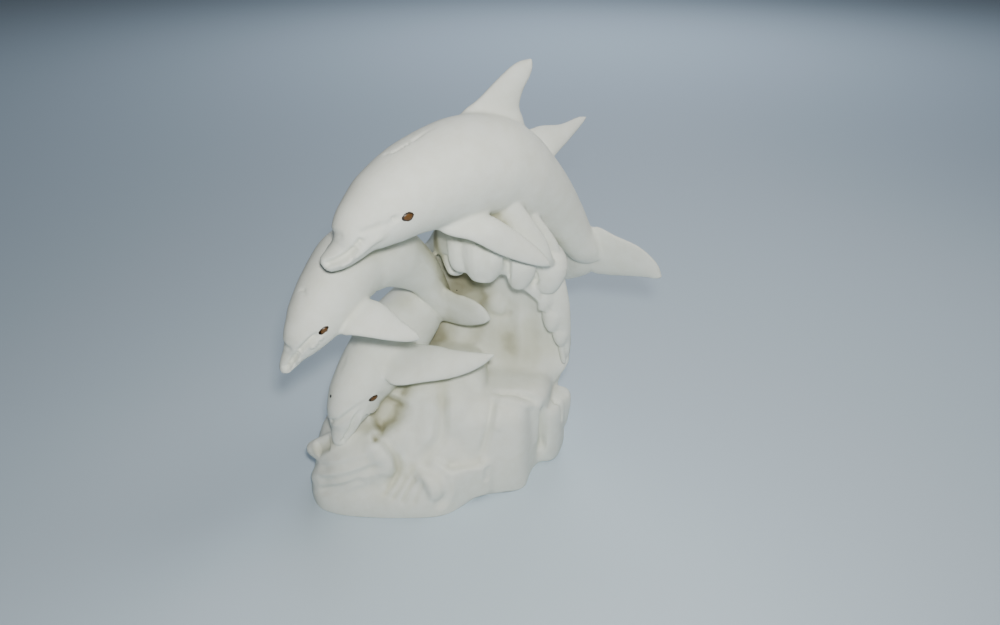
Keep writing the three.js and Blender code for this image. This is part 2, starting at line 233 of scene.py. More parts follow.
def bodySurface(dolphin, t, degrees):
    # The point on the skin at t along the body, turned from the back (0) over the near side (90).
    centre, back, side, (top, belly, half) = bodyFrame(dolphin, t)
    angle = np.radians(np.atleast_1d(degrees))
    rise = np.cos(angle) * np.where(np.cos(angle) > 0, top, belly)
    return centre + back * rise[:, None] + side * (np.sin(angle) * half)[:, None]


skins = {
    "headCrowding": 1.35,                # above 1 draws the rings towards the beak
    "finTip": 0.3, "finFullness": 0.8,   # thickness at a fin's tip as a share, and how long it stays full
    "roundedFrom": 0.9,                  # where along a fin its tip starts to round
    "trailingThin": 0.3,                 # how much thinner a fin is behind than in front, as a share
}


def bodyShell(dolphin, rows=110, sides=44):
    t = np.linspace(0, 1, rows) ** skins["headCrowding"]
    rings = [bodySurface(dolphin, t, np.full(rows, 360 * k / sides)) for k in range(sides)]
    return tube(np.stack(rings, 1))


def finShell(fin, rows=26, sides=24):
    lead = smoothRoute(fin["lead"], rows)[0]
    trail = smoothRoute(fin["trail"], rows)[0]
    middle = (lead + trail) / 2
    chord = trail - lead
    span = np.gradient(middle, axis=0)
    across = unit(np.cross(span, chord))
    t = np.linspace(0, 1, rows)
    half = fin["thick"] * (skins["finTip"] + (1 - skins["finTip"]) * (1 - t) ** skins["finFullness"])
    past = (t - skins["roundedFrom"]) / (1 - skins["roundedFrom"])
    taper = np.where(past > 0, np.sqrt(np.clip(1 - past**2, 0.06, 1)), 1)
    angle = np.linspace(0, 2 * np.pi, sides, endpoint=False)
    thin = np.sin(angle) * (1 - skins["trailingThin"] * (1 - np.cos(angle)) / 2)
    taper = taper[:, None, None]
    rings = (middle[:, None] + 0.5 * chord[:, None] * (np.cos(angle)[None, :, None] * taper)
             + across[:, None] * (half[:, None] * thin[None])[..., None] * taper)
    return tube(rings)


# The wave and its foam

wave = {
    "line": [(-24, 46, 0), (-4, 38, 0), (18, 31, 0), (40, 26, 0), (60, 20, 0), (74, 16, 0), (82, 14, 0)],
    "profile": [(22, 50), (9, 64), (1, 88), (3, 118), (14, 136), (28, 146), (36, 142), (43, 150),
                (36, 162), (18, 166), (-4, 160), (-15, 138), (-20, 100), (-20, 60), (-16, 20),
                (20, 20)],
    "curl": [0, 0.05, 0.6, 1, 0.9, 0.5, 0.1],
    "height": [0.62, 0.74, 0.97, 1, 0.95, 0.66, 0.24],
    "thickness": [0.35, 0.8, 1, 1, 1, 0.8, 0.35],
    "foot": [0.4, 0.9, 1, 1, 1, 0.8, 0.2],
    "slant": [0, 0, 0, 0, 0, 0.5, 1],
    "footTop": 60, "curlFrom": 70,
    "slantFrom": 62, "slantSlope": 1.1, "slantMost": 14,   # the right end draws in below a height, mm
}
foam = [
    {"points": [(22, 12, 160), (18, -2, 152), (17, -6, 138)], "radii": [11, 10, 8], "flat": 0.85},
    {"points": [(34, 10, 162), (30, -6, 152), (28, -8, 133)], "radii": [14, 14, 10], "flat": 0.85},
    {"points": [(50, 10, 156), (50, -4, 147), (48.5, -5, 127)], "radii": [12, 11.5, 7], "flat": 0.8},
    {"points": [(62, 16, 144), (66, 3, 138), (65, 1, 121)], "radii": [10, 11, 7.5], "flat": 0.8},
    {"points": [(9, 26, 146), (12, 14, 138), (12.5, 6, 130)], "radii": [9, 8.5, 6.5], "flat": 0.8},
    {"points": [(48, 18, 146), (48, 8, 154), (46, 0, 162)], "radii": [20, 18, 12], "flat": 0.6},
    {"points": [(63, 14, 144), (69, 9, 122), (73.5, 8, 102), (77, 9, 84), (78.5, 10, 66)],
     "radii": [10, 8.5, 7.5, 5, 3.5], "flat": 0.8},
    {"points": [(65, 14, 126), (64, 7, 115), (63, 5, 107)], "radii": [8, 8, 5]},
    {"points": [(71, 13, 112), (69.5, 7, 101), (69, 6, 92)], "radii": [7, 7, 4]},
    {"points": [(76, 12, 98), (75, 8, 89), (75.5, 7, 80)], "radii": [5, 5.5, 3]},
]

crests = [
    {"thick": 8,
     "lead": [(16, -2, 150), (24, -8, 165), (30, -12, 174), (37, -13, 180), (44, -13, 186.5)],
     "trail": [(70, 0, 138), (67.5, -8, 147), (63.5, -10, 158.5), (57.5, -11, 168.5), (46.5, -13, 185)]},
    {"thick": 5,
     "lead": [(48, 6, 150), (50, 3, 162), (52, 0, 169), (54, -2, 174.5)],
     "trail": [(74, 10, 132), (73, 4, 142), (71, 1, 151), (67, 0, 158), (57, -2, 173)]},
]


def wallShell(rows=46):
    points, ways = smoothRoute(wave["line"], rows)
    t = np.linspace(0, 1, rows)
    inward = unit(np.stack([ways[:, 1], -ways[:, 0], np.zeros(rows)], 1))
    share = {name: along(wave[name], t) for name in ("curl", "height", "thickness", "foot", "slant")}
    rings = []
    for out, z in wave["profile"]:
        kind = "thickness" if out < 0 else "curl" if z > wave["curlFrom"] else "foot"
        rise = min(z, wave["footTop"]) + max(0, z - wave["footTop"]) * share["height"]
        pull = min(wave["slantMost"], max(0, wave["slantFrom"] - z) * wave["slantSlope"]) * share["slant"]
        spot = points + inward * (out * share[kind])[:, None] - ways * pull[:, None]
        spot[:, 2] = rise
        rings.append(spot)
    rings = np.stack(rings, 1)
    return tube(np.stack([smoothRoute(ring, 72, closed=True)[0] for ring in rings]))


def lobeShell(lobe, rows=22, sides=24):
    turn = np.linspace(0, np.pi, rows)
    t = (1 - np.cos(turn)) / 2
    fine, ways = smoothRoute(lobe["points"], 200)
    centre = np.stack([np.interp(t * 199, range(200), fine[:, k]) for k in range(3)], 1)
    tangent = unit(np.stack([np.interp(t * 199, range(200), ways[:, k]) for k in range(3)], 1))
    side = unit(np.cross(tangent, (0, -1, 0)))
    face = np.cross(side, tangent)
    radius = np.interp(t, np.linspace(0, 1, len(lobe["radii"])), lobe["radii"])
    radius = radius * np.sin(0.04 * np.pi + 0.92 * turn) ** 0.6
    angle = np.linspace(0, 2 * np.pi, sides, endpoint=False)
    deep = radius[:, None] * np.cos(angle) * lobe.get("flat", 1)
    wide = radius[:, None] * np.sin(angle)
    rings = centre[:, None] + face[:, None] * deep[..., None] + side[:, None] * wide[..., None]
    return tube(rings)


# The base

base = {
    "ground": [(-78, -32), (-71, -47), (-58, -53), (-45, -55), (-21, -56), (4, -54), (13, -48),
               (20, -41), (26, -37), (47, -33), (53, -30), (58, -14), (66, -3), (75, 1), (80, 12),
               (81, 30), (72, 48), (50, 60), (20, 64), (-15, 60), (-45, 46), (-66, 24), (-76, -4)],
    "groundLevels": [(-3, 1), (5, 1.005), (12, 0.985), (20, 0.95, 0, 2), (27, 0.86, 0, 4)],
    "mounds": [
        {"outline": [(-77, -30), (-69, -47), (-45, -54), (-20, -54), (-6, -42), (-8, 0), (-30, 26),
                     (-60, 20), (-77, -4)],
         "levels": [(2, 0.98), (14, 0.97, 0, 1), (26, 0.92, 0, 4), (36, 0.84, 1, 6), (42, 0.66, 4, 9)]},
        {"outline": [(-20, -46), (6, -46), (18, -40), (30, -34), (32, -10), (24, 14), (-20, 16),
                     (-32, 0), (-30, -26)],
         "levels": [(2, 0.96), (20, 0.95, 0, 1), (32, 0.93, 0, 4), (52, 0.9, 0, 15), (66, 0.84, 2, 22),
                    (71, 0.7, 2, 25)]},
        {"outline": [(12, -36), (30, -37), (50, -33), (58, -18), (63, -2), (66, 30), (26, 38), (8, 10)],
         "levels": [(2, 0.98), (20, 0.99, 0, 1), (40, 0.98, 0, 4), (50, 0.96, 0, 6), (55, 0.93, 0, 9),
                    (60, 0.84, -2, 13)]},
        {"outline": [(-30, -6), (0, -12), (30, -16), (52, -16), (63, -13), (70, 2), (69, 32), (0, 46),
                     (-32, 38)],
         "levels": [(20, 0.96), (44, 0.99), (54, 0.98), (59, 0.9, 0, 2)]},
        {"outline": [(-40, 30), (0, 42), (40, 36), (64, 26), (68, 34), (64, 46), (46, 58), (10, 62),
                     (-26, 54), (-46, 40)],
         "levels": [(2, 0.98), (30, 0.98), (50, 0.94, 0, -2), (66, 0.86, 0, -4), (76, 0.7, 0, -5)]},
        {"outline": [(63, -7), (70, -8), (76, -3), (79, 10), (70, 16), (60, 8)],
         "levels": [(0, 0.9), (8, 1), (30, 1.02), (38, 0.98), (42, 0.84)]},
        {"outline": [(70, 8), (79, 6), (84, 11), (82, 19), (70, 20)],
         "levels": [(16, 0.75), (31, 0.98), (40, 1), (43, 0.86)]},
        {"outline": [(-4, -48), (8, -50), (22, -43), (32, -38), (33, -20), (-6, -20)],
         "levels": [(2, 1), (18, 1), (24, 0.99), (28, 0.93)]},
    ],
    "rocks": [
        {"points": [(-28, -22, 42), (-44, -30, 36), (-62, -32, 33), (-79, -28, 30)],
         "radii": [14, 14, 11, 6]},
        {"points": [(-16, -24, 46), (-34, -34, 34), (-54, -38, 24), (-75, -36, 12)],
         "radii": [12, 17, 16, 9]},
        {"points": [(-14, -40, 22), (0, -43, 20), (6, -45, 4)], "radii": [10, 12, 10]},
        {"points": [(-18, 0, 64), (-14, -12, 50), (-10, -28, 30)], "radii": [12, 17, 14]},
        {"points": [(8, 4, 64), (8, -8, 50), (12, -24, 30)], "radii": [18, 22, 18]},
        {"points": [(-46, -22, 36), (-34, -16, 48), (-22, -4, 62)], "radii": [12, 13, 12]},
    ],
}


def moundShell(outline, levels, sides=96):
    ring = smoothRoute(outline, sides, closed=True)[0]
    middle = ring.mean(0)
    steps = np.array([tuple(level) + (0,) * (4 - len(level)) for level in levels], float)
    steps = smoothRoute(steps, 24)[0]
    rings = []
    for z, scale, x, y in steps:
        flat = middle + (ring - middle) * scale + (x, y)
        rings.append(np.column_stack([flat, np.full(sides, z)]))
    return tube(np.array(rings))


# Casting: every shell goes into one mesh, which a voxel remesh fuses as the slip joins do

casting = {
    "voxel": 0.75,        # mm
    "quickVoxel": 1.5,
    "triangles": 190000,
    "smoothing": {   # weight and rounds
        "join": (0.6, 24), "base": (0.5, 30), "foam": (0.5, 3), "body": (0.4, 2),
    },
    "spread": 8,          # rounds over which one kind of surface passes into the next
    "joinFade": 0.97,     # how much of a fin root's smoothing each round passes on
    "afterStrokes": {"base": 0.4, "foam": 0.3, "rounds": 2},
    "afterHeads": {"all": 0.3, "rounds": 1},
}


def fusedShells():
    groups = [("body", [bodyShell(d) for d in school]),
              ("fin", [finShell(f) for d in school for f in d["fins"].values()]),
              ("foam", [lobeShell(lobe) for lobe in foam] + [finShell(crest) for crest in crests]),
              ("base", [wallShell(), moundShell(base["ground"], base["groundLevels"])]
               + [moundShell(m["outline"], m["levels"]) for m in base["mounds"]]
               + [lobeShell(rock) for rock in base["rocks"]])]
    whole = bmesh.new()
    kinds = []
    for kind, shells in groups:
        for shell in shells:
            part = bpy.data.meshes.new("shell")
            shell.to_mesh(part)
            shell.free()
            whole.from_mesh(part)
            kinds += [kind] * len(part.vertices)
            bpy.data.meshes.remove(part)
    places = np.array([vert.co[:] for vert in whole.verts])
    bmesh.ops.scale(whole, vec=(mm, mm, mm), verts=whole.verts)
    mesh = bpy.data.meshes.new("shells")
    whole.to_mesh(mesh)
    whole.free()
    voxel = casting["voxel"]
    return modified(mesh, "REMESH", mode="VOXEL", voxel_size=voxel * mm), places, kinds


def modified(mesh, kind, **settings):
    # The mesh as one modifier leaves it.
    thing = bpy.data.objects.new("work", mesh)
    bpy.context.scene.collection.objects.link(thing)
    modifier = thing.modifiers.new(kind.lower(), kind)
    for name, value in settings.items():
        setattr(modifier, name, value)
    result = bpy.data.meshes.new_from_object(thing.evaluated_get(bpy.context.evaluated_depsgraph_get()))
    bpy.data.objects.remove(thing)
    return result


def readPoints(mesh):
    flat = np.empty(len(mesh.vertices) * 3, np.float32)
    mesh.vertices.foreach_get("co", flat)
    return flat.reshape(-1, 3).astype(float) / mm


def writePoints(mesh, points):
    mesh.vertices.foreach_set("co", (points * mm).astype(np.float32).ravel())
    mesh.update()


def readNormals(mesh):
    flat = np.empty(len(mesh.vertices) * 3, np.float32)
    mesh.vertex_normals.foreach_get("vector", flat)
    return flat.reshape(-1, 3).astype(float)


def readEdges(mesh):
    flat = np.empty(len(mesh.edges) * 2, np.int32)
    mesh.edges.foreach_get("vertices", flat)
    return flat.reshape(-1, 2)


def readFaces(mesh):
    return [tuple(face.vertices) for face in mesh.polygons]


def neighbourMean(values, edges, degree):
    total = np.empty_like(values)
    for k in range(values.shape[1]):
        total[:, k] = (np.bincount(edges[:, 0], values[edges[:, 1], k], len(values))
                       + np.bincount(edges[:, 1], values[edges[:, 0], k], len(values)))
    return total / degree[:, None]


def relax(mesh, weight, rounds):
    # Smooths the slip by moving each point part of the way towards its neighbours.
    points, edges = readPoints(mesh), readEdges(mesh)
    degree = np.maximum(np.bincount(edges.ravel(), minlength=len(points)), 1)
    for _ in range(rounds):
        points = points + (neighbourMean(points, edges, degree) - points) * weight[:, None]
    writePoints(mesh, points)


def nearest(points, places):
    # For each point, the number of the nearest place.
    tree = KDTree(len(places))
    for k, place in enumerate(places):
        tree.insert(place, k)
    tree.balance()
    return np.array([tree.find(point)[1] for point in points])


print("casting the group")
fused, shellPoints, shellKinds = fusedShells()
kinds = np.array(shellKinds)[nearest(readPoints(fused), shellPoints)]
edges = readEdges(fused)
degree = np.maximum(np.bincount(edges.ravel(), minlength=len(kinds)), 1)
isBody = (kinds == "body") | (kinds == "fin")
weights = np.stack([kinds == "base", kinds == "foam", isBody], 1).astype(float)
joins = np.zeros((len(kinds), 1))
meeting = ((kinds[edges[:, 0]] == "fin") & (kinds[edges[:, 1]] == "body")
           | (kinds[edges[:, 0]] == "body") & (kinds[edges[:, 1]] == "fin"))
joins[edges[meeting].ravel()] = 1
for _ in range(casting["spread"]):
    weights = neighbourMean(weights, edges, degree)
    joins = np.maximum(neighbourMean(joins, edges, degree), joins * casting["joinFade"])
print("smoothing", len(kinds), "points")
shares = {"join": np.clip(joins[:, 0] * 2, 0, 1), "base": weights[:, 0], "foam": weights[:, 1],
          "body": weights[:, 2]}
for kind, share in shares.items():
    weight, rounds = casting["smoothing"][kind]
    relax(fused, weight * share, rounds)


# Tool work: each stroke is its half width and depth in mm and its path, and a depth below 0 raises a rib

baseStrokes = [
    (5, 2.6, [(-71, -42, 25), (-60, -46, 29), (-51, -50, 34), (-40, -50, 38), (-34, -49, 42)]),
    (5, 3.0, [(-72, -44, 18), (-57, -49, 26), (-43, -50, 31), (-29, -49, 36)]),
    (4, 2.2, [(-72, -45, 10), (-61, -48, 17), (-48, -52, 24), (-38, -54, 27)]),
    (6, -1.6, [(-70, -43, 22), (-58, -48, 28), (-46, -50, 33), (-35, -49, 39)]),
    (5, 3.2, [(-33, -35, 47), (-27, -40, 40), (-23, -42, 33), (-22, -43, 27), (-25, -46, 22),
              (-31, -51, 18)]),
    (8, -2.2, [(-38, -40, 46), (-32, -44, 40), (-28, -46, 33), (-30, -50, 25)]),
    (2.6, 1.3, [(-21, -43, 26), (-25, -48, 20), (-31, -52, 13)]),
    (2.6, 1.3, [(-16, -45, 26), (-21, -50, 19), (-26, -54, 11)]),
    (2.6, 1.3, [(-11, -48, 26), (-16, -52, 18), (-21, -55, 9)]),
    (2.6, 1.2, [(-6, -50, 26), (-10, -53, 18), (-14, -56, 9)]),
    (6, 3.2, [(3, -16, 68), (4, -23, 59), (4, -28, 49), (2, -32, 40), (-3, -36, 35), (-8, -41, 31),
              (-12, -44, 28)]),
    (8, -1.8, [(-3, -20, 65), (-4, -27, 54), (-5, -33, 45), (-9, -38, 38)]),
    (5, 2.8, [(-11, -43, 30), (-3, -46, 29), (3, -48, 25), (6, -50, 18), (5, -53, 11), (-1, -56, 6)]),
    (5, -1.8, [(-10, -49, 27), (-4, -51, 25), (-1, -53, 19), (-2, -56, 11)]),
    (5, 2.6, [(6, -43, 31), (12, -42, 30), (20, -40, 29), (30, -38, 28)]),
    (3.5, 1.4, [(31, -39, 25), (31, -40, 19), (30, -40, 13)]),
    (4, 2.6, [(34, -14, 61), (33, -21, 55), (31, -28, 47), (29, -33, 38), (26, -37, 29)]),
    (6, -1.2, [(39, -22, 58), (37, -28, 52), (35, -32, 44)]),
    (3.5, 2.6, [(34, -12, 60), (44, -12.5, 60), (54, -12, 56), (63, -12, 51)]),
    (4, -1.6, [(36, -19, 61), (46, -20, 59), (54, -19, 56), (61, -16, 51)]),
    (15, 9, [(-24, -18, 62), (-30, -25, 54), (-38, -30, 49)]),
    (4, 2.0, [(-34, -35, 51), (-34, -40, 47), (-34, -43, 44)]),
    (7, 4.4, [(-73, -36, 35), (-68, -36, 38), (-61, -36, 41)]),
    (4, 4.5, [(65, -10, 48), (65, -10, 36), (65, -9, 22), (64, -8, 8)]),
    (3, 2.2, [(72, 3, 44), (73, 3, 36), (74, 2, 27)]),
]
waveStrokes = [
    (10, 2.4, [(24, 24, 112), (21, 26, 96), (20, 27, 80), (20, 26, 66)]),
    (9, 2.0, [(43, 22, 108), (42, 25, 94), (43, 22, 78), (42, 15, 64)]),
    (8, 1.8, [(57, 18, 104), (57, 21, 88), (58, 18, 74), (57, 8, 62)]),
    (9, -1.8, [(30, 24, 104), (35, 26, 99), (42, 25, 96)]),
    (3, 1.0, [(31, 26, 94), (36, 26, 91), (42, 25, 92), (46, 24, 96)]),
    (4, 3.2, [(57, 1, 117), (61, 12, 103), (68, 15, 92), (73, 12, 85), (77, 7, 82)]),
    (2.2, 1.2, [(77, 6, 82), (80, 8, 73), (82, 13, 60)]),
    (5, 1.8, [(30, -14, 166), (29, -17, 155), (29, -17, 145), (28, -13, 132)]),
    (3, 3.0, [(42, -14, 152), (42, -12, 142), (41, -8, 132)]),
    (3, 3.0, [(58, -5, 146), (58, -4, 136), (57, -2, 126)]),
    (4, 2.6, [(14, -2, 150), (13, -1, 140), (13, 2, 130)]),
]
headStrokes = [
    (topDolphin, 2.4, 2.8, [(0.0, 40), (0.02, 52), (0.04, 60), (0.06, 66), (0.082, 70), (0.112, 69),
                            (0.133, 69), (0.157, 73)]),
    (topDolphin, 3.6, -1.5, [(0.03, 84), (0.057, 92), (0.085, 91), (0.115, 86), (0.145, 82)]),
    (topDolphin, 2.4, 0.9, [(0.1, 56), (0.117, 61), (0.135, 65), (0.157, 69)]),
    (topDolphin, 3.4, 0.8, [(0.076, -70), (0.076, -25), (0.078, 5), (0.083, 34)]),
    (topDolphin, 1.5, 0.8, [(0.25, -24), (0.262, -12), (0.27, -10), (0.297, -9), (0.333, -12),
                            (0.365, -14)]),
    (middleDolphin, 2.2, 2.5, [(0.0, 40), (0.02, 46), (0.045, 50), (0.068, 53), (0.1, 54), (0.138, 58),
                               (0.16, 64)]),
    (middleDolphin, 3.0, -1.4, [(0.02, 66), (0.06, 72), (0.1, 72), (0.145, 74)]),
    (middleDolphin, 3.0, 1.0, [(0.078, -60), (0.078, -10), (0.081, 15), (0.095, 34)]),
    (middleDolphin, 1.6, 0.5, [(0.233, -24), (0.24, -6)]),
    (middleDolphin, 1.6, 0.4, [(0.238, -18), (0.226, 0)]),
    (lowDolphin, 2.6, 2.2, [(0.11, -50), (0.12, -13), (0.142, 25), (0.177, 40), (0.215, 48),
                            (0.256, 57)]),
    (lowDolphin, 2.2, 2.2, [(0.02, 74), (0.06, 82), (0.1, 80), (0.152, 68), (0.2, 62), (0.24, 60)]),
    (lowDolphin, 3.2, -1.2, [(0.06, 108), (0.12, 94), (0.17, 78), (0.22, 70)]),
    (lowDolphin, 3.0, 0.35, [(0.483, -34.5), (0.44, -39), (0.393, -39), (0.362, -35)]),
]
farTurn = 176                      # degrees from a near head feature round to its twin on the far side
farStrokes = [0, 1, 5, 6, 11, 12]   # mouth lines and lips, which the far sides of the heads have too


def press(mesh, strokes):
    # Sinks or raises the surface along each line, which settles on the surface and fades at its ends.
    points, normals = readPoints(mesh), readNormals(mesh)
    move = np.zeros_like(points)
    for width, depth, line in strokes:
        reach = max(2 * width, 7)
        near = np.where(np.all((points > line.min(0) - reach) & (points < line.max(0) + reach), 1))[0]
        spots, skin = points[near], normals[near]
        gaps = np.linalg.norm(spots[:, None] - line[None], axis=2)
        closest = gaps.argmin(0)
        share = np.exp(-((gaps - gaps.min(0)) / (0.6 * width)) ** 2) * (skin @ skin[closest].T > 0.2)
        up = unit(evened(share.T @ skin, 9))
        rise = np.sum((spots[closest] - line) * up, 1)
        settled = line + up * evened(rise[:, None], 7)
        away = spots[:, None] - settled[None]
        high = np.sum(away * up[None], 2)
        gaps = np.sqrt(np.maximum(np.sum(away**2, 2) - high**2, 0) + 0.25 * high**2)
        step = gaps.argmin(1)
        run = step / (len(line) - 1)
        gap = np.minimum(gaps.min(1) / width, 1)
        facing = np.sum(skin * up[step], 1) > 0
        ends = np.clip(np.minimum(run, 1 - run) / 0.2, 0, 1)
        push = depth * (1 - gap**2) ** 2 * (0.15 + 0.85 * ends * ends * (3 - 2 * ends)) * facing
        move[near] -= up[step] * push[:, None]
    writePoints(mesh, points + move)


def evened(rows, span):
    # Each row as the mean of the span rows around it.
    half = span // 2
    padded = np.vstack([rows[:1]] * half + [rows] + [rows[-1:]] * half)
    return np.mean([padded[k:k + len(rows)] for k in range(span)], 0)


def onBody(dolphin, path, turn=0):
    line = smoothRoute(path, 60)[0]
    return bodySurface(dolphin, line[:, 0], line[:, 1] - turn)


print("pressing the grooves")
strokes = baseStrokes + waveStrokes
press(fused, [(width, depth, smoothRoute(path, 60)[0]) for width, depth, path in strokes])
after = casting["afterStrokes"]
relax(fused, after["base"] * weights[:, 0] + after["foam"] * weights[:, 1], after["rounds"])
heads = [(width, depth, onBody(dolphin, path)) for dolphin, width, depth, path in headStrokes]
for k in farStrokes:
    dolphin, width, depth, path = headStrokes[k]
    heads.append((width, depth, onBody(dolphin, path, farTurn)))
press(fused, heads)
after = casting["afterHeads"]
relax(fused, np.full(len(kinds), after["all"]), after["rounds"])


# Painted shade with a yellow tint: how sheltered each spot is and how hollow, darker and yellower there

shadeAndYellowing = {
    "shelter": 0.9, "shelterFrom": 0.22, "shelterSpan": 0.5,   # painted shade, tinted yellow, where the sky is hidden
    "hollow": 0.22, "hollowSpan": 0.03, "blurRounds": 6,       # and in creases
    "rays": 26, "reach": 70, "coarseVoxel": 3, "lift": 2.5,    # mm, for finding how much sky is hidden
}
# Painted shadows and shade, tinted yellow: under the top dolphin's head, in grooves and pockets of the
# base, and inside the wave
shadowAndYellowStrokes = [   # reach in mm, strength, path
    (7, 0.75, [(-72, -37, 36), (-67, -37, 38), (-61, -37, 41)]),
    (4, 0.9, [(-34, -36, 51), (-34, -41, 47), (-33, -43, 44)]),
    (14, 0.35, [(-22, -16, 63), (-27, -23, 55), (-34, -28, 49)]),
    (12, 0.6, [(2, 12, 124), (11, 10, 118), (22, 8, 114)]),
    (12, 0.3, [(4, -24, 62), (4, -16, 67)]),
    (16, 0.3, [(-60, -40, 142), (-44, -36, 156), (-22, -24, 160)]),
    (28, 0.5, [(18, 24, 104), (30, 26, 88), (44, 24, 76), (58, 18, 74)]),
    (14, 0.3, [(40, 26, 74), (46, 20, 66)]),
    (11, 0.75, [(2, 20, 152), (4, 16, 142), (6, 12, 130)]),
    (14, 0.3, [(-25, -44, 30), (-20, -46, 24), (-30, -52, 16)]),
]


def shelter(mesh):
    # The share of the sky that a coarse copy of the mesh hides, near surfaces most.
    rays, reach = shadeAndYellowing["rays"], shadeAndYellowing["reach"]
    coarse = modified(mesh.copy(), "REMESH", mode="VOXEL", voxel_size=shadeAndYellowing["coarseVoxel"] * mm)
    points, normals = readPoints(coarse), readNormals(coarse)
    tree = BVHTree.FromPolygons(points.tolist(), readFaces(coarse))
    k = np.arange(rays) + 0.5
    tilt = np.arcsin(np.sqrt(k / rays * 0.96))
    turn = k * 2.39996   # the golden angle, which spreads the rays evenly
    hidden = np.zeros(len(points))
    for n, (point, normal) in enumerate(zip(points, normals)):
        sideways = np.cross(normal, (0.3, 0.5, 0.81))
        sideways /= np.linalg.norm(sideways)
        other = np.cross(normal, sideways)
        ways = (np.cos(tilt)[:, None] * normal + np.sin(tilt)[:, None]
                * (np.cos(turn)[:, None] * sideways + np.sin(turn)[:, None] * other))
        start = Vector(point + normal * shadeAndYellowing["lift"])
        for way in ways:
            gap = tree.ray_cast(start, Vector(way), reach)[3]
            if gap is not None:
                hidden[n] += 1 - gap / reach
    return hidden[nearest(readPoints(mesh), points)] / rays


# Painted shade with a yellow tint for each point: darker where the sky is hidden, in creases and along
# the painted shadow strokes
def paintShadeAndYellowing(mesh):
    points, edges, normals = readPoints(mesh), readEdges(mesh), readNormals(mesh)
    degree = np.maximum(np.bincount(edges.ravel(), minlength=len(points)), 1)
    hollow = np.sum((neighbourMean(points, edges, degree) - points) * normals, 1)[:, None]
    sheltered = shelter(mesh)[:, None]
    for _ in range(shadeAndYellowing["blurRounds"]):
        hollow = neighbourMean(hollow, edges, degree)
        sheltered = neighbourMean(sheltered, edges, degree)
    shadeAndYellow = shadeAndYellowing["shelter"] * np.clip((sheltered[:, 0] - shadeAndYellowing["shelterFrom"]) / shadeAndYellowing["shelterSpan"], 0, 1)
    shadeAndYellow += shadeAndYellowing["hollow"] * np.clip(hollow[:, 0] / shadeAndYellowing["hollowSpan"], -0.4, 1)
    for reach, strength, path in shadowAndYellowStrokes:
        line = smoothRoute(path, 40)[0]
        near = np.where(np.all((points > line.min(0) - reach) & (points < line.max(0) + reach), 1))[0]
        gap = np.minimum(np.linalg.norm(points[near, None] - line[None], axis=2).min(1) / reach, 1)
        shadeAndYellow[near] += strength * (1 - gap**2) ** 2
    return np.clip(shadeAndYellow, 0, 1)


def setValues(mesh, name, values):
    layer = mesh.attributes.new(name, "FLOAT", "POINT")
    layer.data.foreach_set("value", values.astype(np.float32))


print("reading the recesses")
# painted shade with a yellow tint for each point of the fine mesh
shadeAndYellow = paintShadeAndYellowing(fused)
finePoints = readPoints(fused)
faces = sum(len(face.vertices) - 2 for face in fused.polygons)
print("thinning", faces, "triangles")
thin = modified(fused, "DECIMATE", ratio=min(1.0, casting["triangles"] / faces))
foot = bmesh.new()
foot.from_mesh(thin)
bmesh.ops.bisect_plane(foot, geom=foot.verts[:] + foot.edges[:] + foot.faces[:], plane_co=(0, 0, 0),
                       plane_no=(0, 0, 1), clear_inner=True)
bmesh.ops.holes_fill(foot, edges=[e for e in foot.edges if e.is_boundary], sides=0)
bmesh.ops.triangulate(foot, faces=[f for f in foot.faces if len(f.verts) > 4])
bmesh.ops.recalc_face_normals(foot, faces=foot.faces)
for face in foot.faces:
    face.smooth = abs(face.normal.z + 1) > 0.001 or max(v.co.z for v in face.verts) > 1e-5
foot.to_mesh(thin)
foot.free()
# the painted shade is carried to the thinned mesh as a point value
setValues(thin, "shade_and_yellow", shadeAndYellow[nearest(readPoints(thin), finePoints)])
surface = BVHTree.FromPolygons(readPoints(thin).tolist(), readFaces(thin))
writePoints(thin, readPoints(thin) - footCentre)
thin.name = "dolphin_sculpture_bisque"
sculpture = bpy.data.objects.new("dolphin_sculpture_bisque", thin)
bpy.context.scene.collection.objects.link(sculpture)
print("sculpture has", len(thin.polygons), "faces")


# Eyes: small almond drops of fired paint, laid on both sides of each head

eyes = [   # place on the body, length and width in mm, tilt in degrees from the body's line to the belly
    {"name": "top", "dolphin": topDolphin, "place": (0.203, 76.5), "size": (7.4, 5.2), "tilt": 9},
    {"name": "middle", "dolphin": middleDolphin, "place": (0.170, 66), "size": (7.2, 3.8), "tilt": 12},
    {"name": "low", "dolphin": lowDolphin, "place": (0.280, 66), "size": (7.6, 3.8), "tilt": 28},
]


paintFilm = {
    "edge": 0.28, "dome": 0.35, "sink": 0.5,   # mm above the skin at the rim and the middle, and under it
    "lift": 5, "reach": 12,                    # mm, for finding the skin below
    "almond": 0.35,                            # above 0 draws the two ends to points
}


